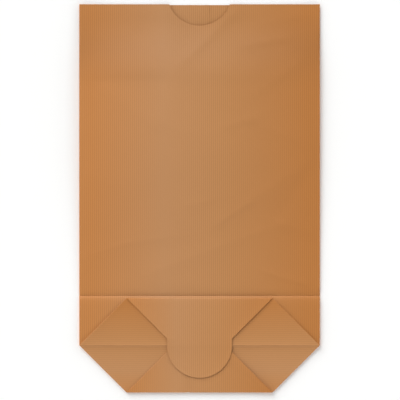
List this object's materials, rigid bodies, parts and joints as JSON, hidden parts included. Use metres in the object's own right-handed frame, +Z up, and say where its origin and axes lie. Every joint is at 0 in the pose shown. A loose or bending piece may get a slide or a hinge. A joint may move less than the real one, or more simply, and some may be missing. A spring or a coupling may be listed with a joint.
{
  "type": "paper lunch bag",
  "caption": "Flat ribbed kraft paper bag with a thumb notch at the mouth and a cross-folded bottom closed by a round-ended flap.",
  "frame": {"origin": "centre of the bag's outline, on the table that it lies on", "axes": "+X across the bag, +Y from the folded bottom to the mouth, +Z up from the table, out of the front wall"},
  "size_m": [0.145, 0.234, 0.0067],
  "materials": {
    "kraft_paper": "ribbed, machine glazed, satin"
  },
  "bodies": {
    "root": {"paper_bag": "kraft_paper"}
  },
  "joints": []
}
